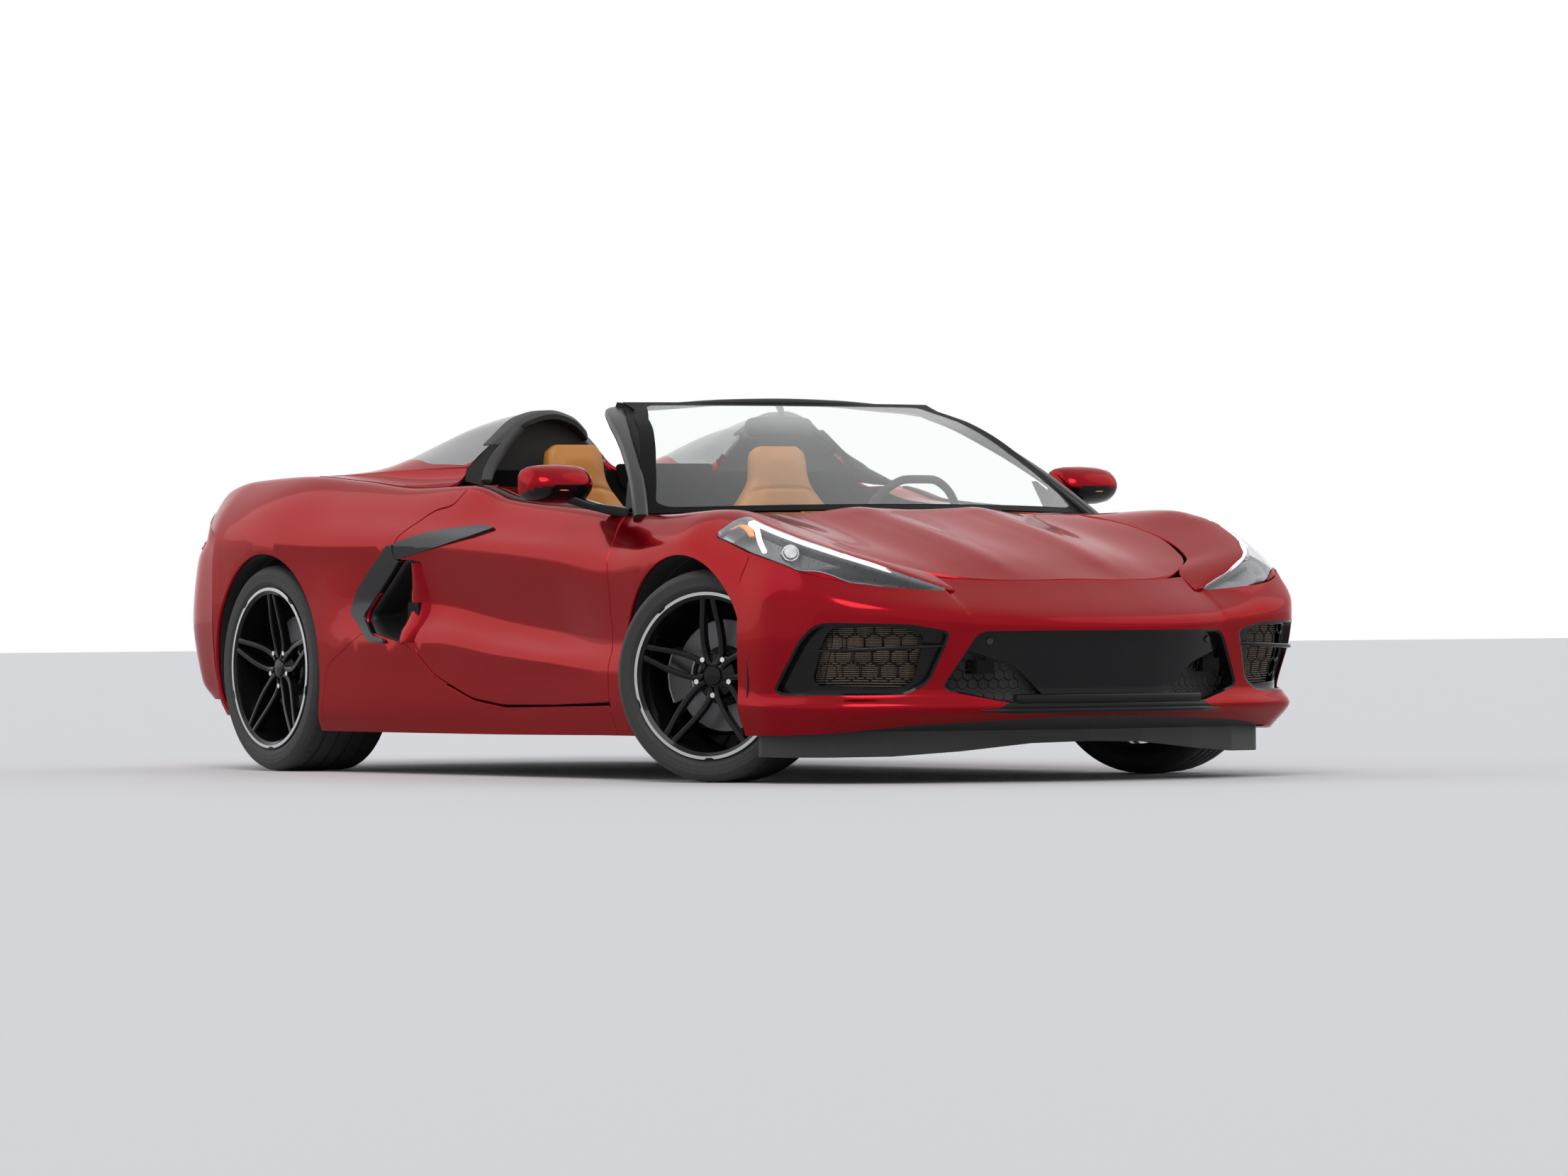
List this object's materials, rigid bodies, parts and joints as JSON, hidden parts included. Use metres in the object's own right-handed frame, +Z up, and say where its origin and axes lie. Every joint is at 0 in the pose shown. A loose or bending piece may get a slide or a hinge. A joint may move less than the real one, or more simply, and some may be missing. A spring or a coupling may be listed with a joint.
{
  "type": "convertible car",
  "caption": "Low mid-engined two-seat convertible car with its roof stowed, turning and steering wheels, opening doors, front lid, roof cover and boot lid.",
  "frame": {"origin": "on the ground, at mid length and mid width of the body", "axes": "+X to the nose, +Y to the car's left, +Z up"},
  "size_m": [4.61, 2.2, 1.21],
  "materials": {
    "body_paint": "gloss",
    "lamp_glass": "clear",
    "gloss_black": "gloss",
    "lamp_red": "gloss",
    "frame_paint": "satin",
    "screen_glass": "clear",
    "tub_grey": "matt",
    "cast_aluminium": "cast",
    "engine_grey": "cast",
    "black_plastic": "matt",
    "chrome": "polished",
    "tan_leather": "grain",
    "silencer_steel": "brushed",
    "trim_black": "grain",
    "black_leather": "grain",
    "tyre": "matt",
    "wheel_black": "gloss",
    "disc_iron": "ground"
  },
  "bodies": {
    "body": {"wings": "body_paint", "headlamps": "lamp_glass", "quarters": "body_paint", "quarter_blades": "gloss_black", "side_sills": "body_paint", "front_bumper": "body_paint", "rear_bumper": "body_paint", "tail_lamps": "lamp_red", "windscreen_frame": "frame_paint", "windscreen": "screen_glass", "tub": "tub_grey", "front_boot": "tub_grey", "front_frame": "cast_aluminium", "engine": "engine_grey", "spoiler": "body_paint", "diffuser": "black_plastic", "exhaust_tips": "chrome", "centre_grille": "black_plastic", "side_grilles": "gloss_black", "splitter": "gloss_black", "undertray": "black_plastic", "arch_liners": "black_plastic", "seats": "tan_leather", "cowl": "black_plastic", "radiator": "cast_aluminium", "wishbones": "cast_aluminium", "silencer": "silencer_steel", "dashboard": "trim_black", "console": "trim_black", "steering_wheel": "black_leather", "wipers": "black_plastic", "rear_knuckles": "cast_aluminium"},
    "door_left": {"door_left": "body_paint"},
    "door_right": {"door_right": "body_paint"},
    "front_lid": {"front_lid": "body_paint"},
    "roof_cover": {"roof_cover": "body_paint"},
    "boot_lid": {"boot_lid": "body_paint"},
    "steer_left": {"knuckle_left": "cast_aluminium"},
    "steer_right": {"knuckle_right": "cast_aluminium"},
    "wheel_front_left": {"tyre_front_left": "tyre", "rim_front_left": "wheel_black", "disc_front_left": "disc_iron"},
    "wheel_front_right": {"tyre_front_right": "tyre", "rim_front_right": "wheel_black", "disc_front_right": "disc_iron"},
    "wheel_rear_left": {"tyre_rear_left": "tyre", "rim_rear_left": "wheel_black", "disc_rear_left": "disc_iron"},
    "wheel_rear_right": {"tyre_rear_right": "tyre", "rim_rear_right": "wheel_black", "disc_rear_right": "disc_iron"}
  },
  "joints": [
    {"name": "steer_left", "type": "hinge", "parent": "body", "child": "steer_left", "pos_m": [1.315, 0.75, 0.327], "axis": [0, 0, 1], "range_deg": [-60.5, 3.5]},
    {"name": "steer_right", "type": "hinge", "parent": "body", "child": "steer_right", "pos_m": [1.315, -0.75, 0.327], "axis": [0, 0, 1], "range_deg": [-60.5, 3.5]},
    {"name": "spin_front_left", "type": "hinge", "parent": "steer_left", "child": "wheel_front_left", "pos_m": [1.27969, 0.81503, 0.327], "axis": [-0.4772, 0.8788, 0], "continuous": true},
    {"name": "spin_rear_left", "type": "hinge", "parent": "body", "child": "wheel_rear_left", "pos_m": [-1.407, 0.793, 0.3455], "axis": [0, 1, 0], "continuous": true},
    {"name": "door_left", "type": "hinge", "parent": "body", "child": "door_left", "pos_m": [0.805, 0.905, 0.5], "axis": [0, 0, 1], "range_deg": [-64, 0]},
    {"name": "spin_front_right", "type": "hinge", "parent": "steer_right", "child": "wheel_front_right", "pos_m": [1.35031, -0.81503, 0.327], "axis": [-0.4772, 0.8788, 0], "continuous": true},
    {"name": "spin_rear_right", "type": "hinge", "parent": "body", "child": "wheel_rear_right", "pos_m": [-1.407, -0.793, 0.3455], "axis": [0, 1, 0], "continuous": true},
    {"name": "door_right", "type": "hinge", "parent": "body", "child": "door_right", "pos_m": [0.805, -0.905, 0.5], "axis": [0, 0, 1], "range_deg": [0, 64]},
    {"name": "front_lid", "type": "hinge", "parent": "body", "child": "front_lid", "pos_m": [1.09, 0, 0.838], "axis": [0, -1, 0], "range_deg": [0, 50]},
    {"name": "roof_cover", "type": "hinge", "parent": "body", "child": "roof_cover", "pos_m": [-1.325, 0, 1], "axis": [0, 1, 0], "range_deg": [-50, 0]},
    {"name": "boot_lid", "type": "hinge", "parent": "body", "child": "boot_lid", "pos_m": [-1.34, 0, 1], "axis": [0, 1, 0], "range_deg": [0, 55]}
  ],
  "couplings": [
    {"joint": "steer_left", "follows": "steer_right", "ratio": 1}
  ]
}
